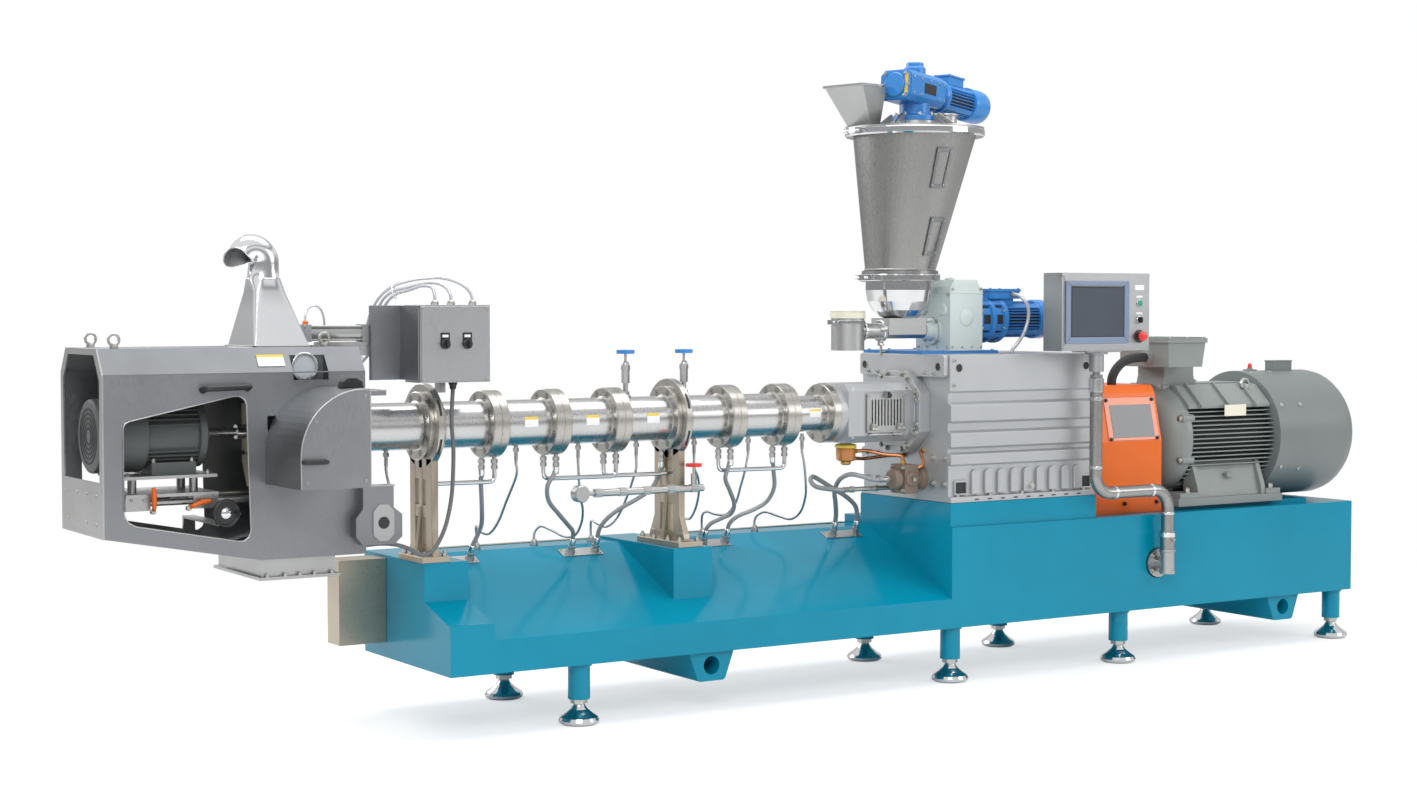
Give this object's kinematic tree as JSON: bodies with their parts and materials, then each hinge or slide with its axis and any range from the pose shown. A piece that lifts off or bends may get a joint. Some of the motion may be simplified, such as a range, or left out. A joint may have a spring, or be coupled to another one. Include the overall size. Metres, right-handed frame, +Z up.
{
  "type": "textured protein extruder",
  "caption": "Twin screw food extruder on a stepped base with a feeder hopper, gearbox, main motor, swinging operator panel and a face cutter in an enclosure.",
  "frame": {"origin": "floor level at the middle of the machine's bounding box", "axes": "+X along the screw line from the cutter towards the motor, +Y to the back, +Z up"},
  "size_m": [5.531, 0.9358, 2.397],
  "materials": {
    "teal_paint": "gloss",
    "stainless": "satin",
    "polished": "polished",
    "beige_steel": "satin",
    "cast_silver": "satin",
    "grey_sheet": "satin",
    "motor_grey": "satin",
    "dark": "matte",
    "sky_blue": "gloss",
    "pale_green": "satin",
    "orange_paint": "satin",
    "red_paint": "gloss",
    "hose_grey": "satin",
    "lead_grey": "matte",
    "black_rubber": "matte"
  },
  "bodies": {
    "machine": {"base_frame": "teal_paint", "levelling_feet": "polished", "hose_plates": "stainless", "barrel_stands": "beige_steel", "screw_barrel": "stainless", "barrel_fittings": "stainless", "barrel_valves": "stainless", "lantern": "cast_silver", "gearbox": "cast_silver", "feeder_plate": "sky_blue", "oil_pump": "motor_grey", "coupling_guard": "orange_paint", "main_motor": "motor_grey", "motor_cowl": "motor_grey", "hopper_shell": "stainless", "hopper_lid": "stainless", "agitator_drive": "sky_blue", "hopper_bowl": "stainless", "feeder_tube": "stainless", "feeder_gearbox": "pale_green", "feeder_motor": "sky_blue", "enclosure_shell": "grey_sheet", "cutter_frame": "stainless", "guard_hood": "grey_sheet", "exhaust_duct": "stainless", "discharge_chute": "stainless", "air_cylinder": "stainless", "control_box": "grey_sheet", "arm_bracket": "stainless", "probe_lead_1": "lead_grey", "probe_lead_2": "lead_grey", "probe_lead_3": "lead_grey", "probe_lead_4": "lead_grey", "probe_lead_5": "lead_grey", "probe_lead_6": "lead_grey", "probe_lead_7": "lead_grey", "barrel_hose_1": "hose_grey", "barrel_hose_2": "hose_grey", "barrel_hose_3": "hose_grey", "barrel_hose_4": "hose_grey", "barrel_hose_5": "hose_grey", "oil_hose_1": "hose_grey", "oil_hose_2": "hose_grey", "box_conduit_1": "lead_grey", "box_conduit_2": "lead_grey", "box_conduit_3": "lead_grey", "control_cable": "black_rubber", "feeder_conduit": "lead_grey", "motor_conduit": "black_rubber", "air_hose": "hose_grey"},
    "arm": {"panel_arm": "stainless"},
    "panel": {"panel_box": "grey_sheet"},
    "vent_door": {"vent_door": "stainless"},
    "cutter_carriage": {"cutter_motor": "motor_grey", "cutter_carriage": "stainless"},
    "cutter_spindle": {"cutter_spindle": "stainless"},
    "cutter_handwheel": {"cutter_handwheel": "dark"},
    "valve_wheel_1": {"valve_wheel_1": "sky_blue"},
    "valve_wheel_2": {"valve_wheel_2": "sky_blue"},
    "steam_wheel": {"steam_wheel": "red_paint"}
  },
  "joints": [
    {"name": "arm_swing", "type": "hinge", "parent": "machine", "child": "arm", "pos_m": [1.5455, -0.306, 0.462], "axis": [0, 0, 1], "range_deg": [0, 165]},
    {"name": "panel_swivel", "type": "hinge", "parent": "arm", "child": "panel", "pos_m": [1.1555, -0.306, 1.209], "axis": [0, 0, 1], "range_deg": [-90, 90]},
    {"name": "vent_door_hinge", "type": "hinge", "parent": "machine", "child": "vent_door", "pos_m": [0.2655, -0.071, 0.953], "axis": [1, 0, 0], "range_deg": [0, 100]},
    {"name": "carriage_slide", "type": "slide", "parent": "machine", "child": "cutter_carriage", "axis": [1, 0, 0], "range_m": [0, 0.05]},
    {"name": "spindle_spin", "type": "hinge", "parent": "cutter_carriage", "child": "cutter_spindle", "pos_m": [-2.2345, 0.052, 1.035], "axis": [1, 0, 0], "continuous": true},
    {"name": "handwheel_turn", "type": "hinge", "parent": "machine", "child": "cutter_handwheel", "pos_m": [-2.3655, -0.138, 0.789], "axis": [0, 1, 0], "range_deg": [0, 360]},
    {"name": "valve_1_turn", "type": "hinge", "parent": "machine", "child": "valve_wheel_1", "pos_m": [-0.7875, 0.052, 1.235], "axis": [0, 0, 1], "range_deg": [0, 1080]},
    {"name": "valve_2_turn", "type": "hinge", "parent": "machine", "child": "valve_wheel_2", "pos_m": [-0.5395, 0.052, 1.235], "axis": [0, 0, 1], "range_deg": [0, 1080]},
    {"name": "steam_valve_turn", "type": "hinge", "parent": "machine", "child": "steam_wheel", "pos_m": [-0.5745, -0.073, 0.865], "axis": [0, 0, 1], "range_deg": [0, 1080]}
  ],
  "couplings": [
    {"joint": "handwheel_turn", "follows": "carriage_slide", "rad_per_m": 125.66}
  ]
}
